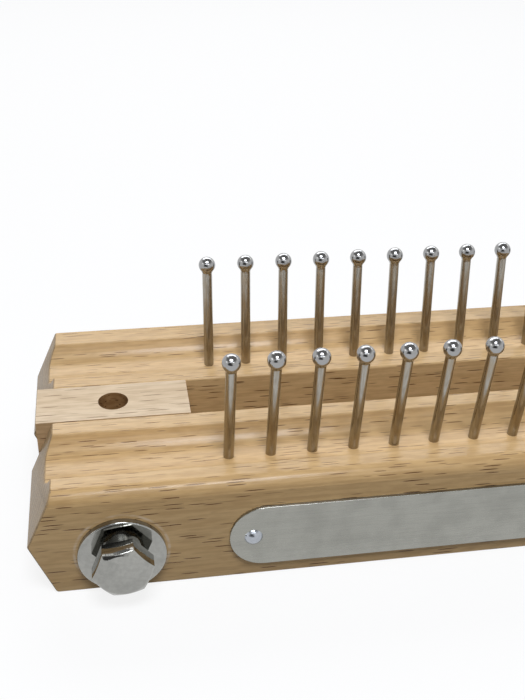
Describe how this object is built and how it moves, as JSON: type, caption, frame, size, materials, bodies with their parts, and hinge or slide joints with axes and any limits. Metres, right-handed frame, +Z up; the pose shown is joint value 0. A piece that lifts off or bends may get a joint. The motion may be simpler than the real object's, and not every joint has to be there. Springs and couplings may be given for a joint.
{
  "type": "knitting board",
  "caption": "Double knitting board: two pinned wooden rails face each other across a slot, set by end spacer blocks on long bolts with wing nuts.",
  "frame": {"origin": "middle of the near rail's underside, on the surface the board stands on", "axes": "+X along the rails, +Y from the near (name plate) rail to the far (wing nut) rail, +Z up along the pins"},
  "size_m": [0.1744, 0.0953, 0.0513],
  "materials": {
    "rail_beech": "satin lacquer",
    "spacer_beech": "unfinished",
    "pin_steel": "satin shafts, polished heads",
    "plated_steel": "polished",
    "cast_nut": "zinc plated",
    "plate_metal": "satin, bare",
    "rivet_metal": "polished"
  },
  "bodies": {
    "near_board": {"near_rail": "rail_beech", "near_pin_01": "pin_steel", "near_pin_02": "pin_steel", "near_pin_03": "pin_steel", "near_pin_04": "pin_steel", "near_pin_05": "pin_steel", "near_pin_06": "pin_steel", "near_pin_07": "pin_steel", "near_pin_08": "pin_steel", "near_pin_09": "pin_steel", "near_pin_10": "pin_steel", "bolt_left": "plated_steel", "bolt_right": "plated_steel", "near_washer_left": "plated_steel", "near_washer_right": "plated_steel", "name_plate": "plate_metal", "rivet_left": "rivet_metal", "rivet_right": "rivet_metal"},
    "far_board": {"far_rail": "rail_beech", "far_pin_01": "pin_steel", "far_pin_02": "pin_steel", "far_pin_03": "pin_steel", "far_pin_04": "pin_steel", "far_pin_05": "pin_steel", "far_pin_06": "pin_steel", "far_pin_07": "pin_steel", "far_pin_08": "pin_steel", "far_pin_09": "pin_steel", "far_pin_10": "pin_steel", "far_washer_left": "plated_steel", "far_washer_right": "plated_steel"},
    "left_block": {"spacer_left": "spacer_beech"},
    "right_block": {"spacer_right": "spacer_beech"},
    "left_wing_nut": {"wing_nut_left": "cast_nut"},
    "right_wing_nut": {"wing_nut_right": "cast_nut"}
  },
  "joints": [
    {"name": "far_rail_slide", "type": "slide", "parent": "near_board", "child": "far_board", "axis": [0, 1, 0], "range_m": [0, 0.0127]},
    {"name": "wing_nut_left_turn", "type": "hinge", "parent": "far_board", "child": "left_wing_nut", "pos_m": [-0.06761, 0.0602, 0.0109], "axis": [0, 1, 0], "range_deg": [0, 3600]},
    {"name": "wing_nut_right_turn", "type": "hinge", "parent": "far_board", "child": "right_wing_nut", "pos_m": [0.06761, 0.0602, 0.0109], "axis": [0, 1, 0], "range_deg": [0, 3600]},
    {"name": "spacer_left_slide", "type": "slide", "parent": "near_board", "child": "left_block", "axis": [0, 1, 0], "range_m": [0, 0.00635]},
    {"name": "spacer_right_slide", "type": "slide", "parent": "near_board", "child": "right_block", "axis": [0, 1, 0], "range_m": [0, 0.00635]}
  ],
  "couplings": [
    {"joint": "wing_nut_left_turn", "follows": "far_rail_slide", "rad_per_m": 4947.4},
    {"joint": "wing_nut_right_turn", "follows": "far_rail_slide", "rad_per_m": 4947.4},
    {"joint": "spacer_left_slide", "follows": "far_rail_slide", "ratio": 0.5},
    {"joint": "spacer_right_slide", "follows": "far_rail_slide", "ratio": 0.5}
  ]
}
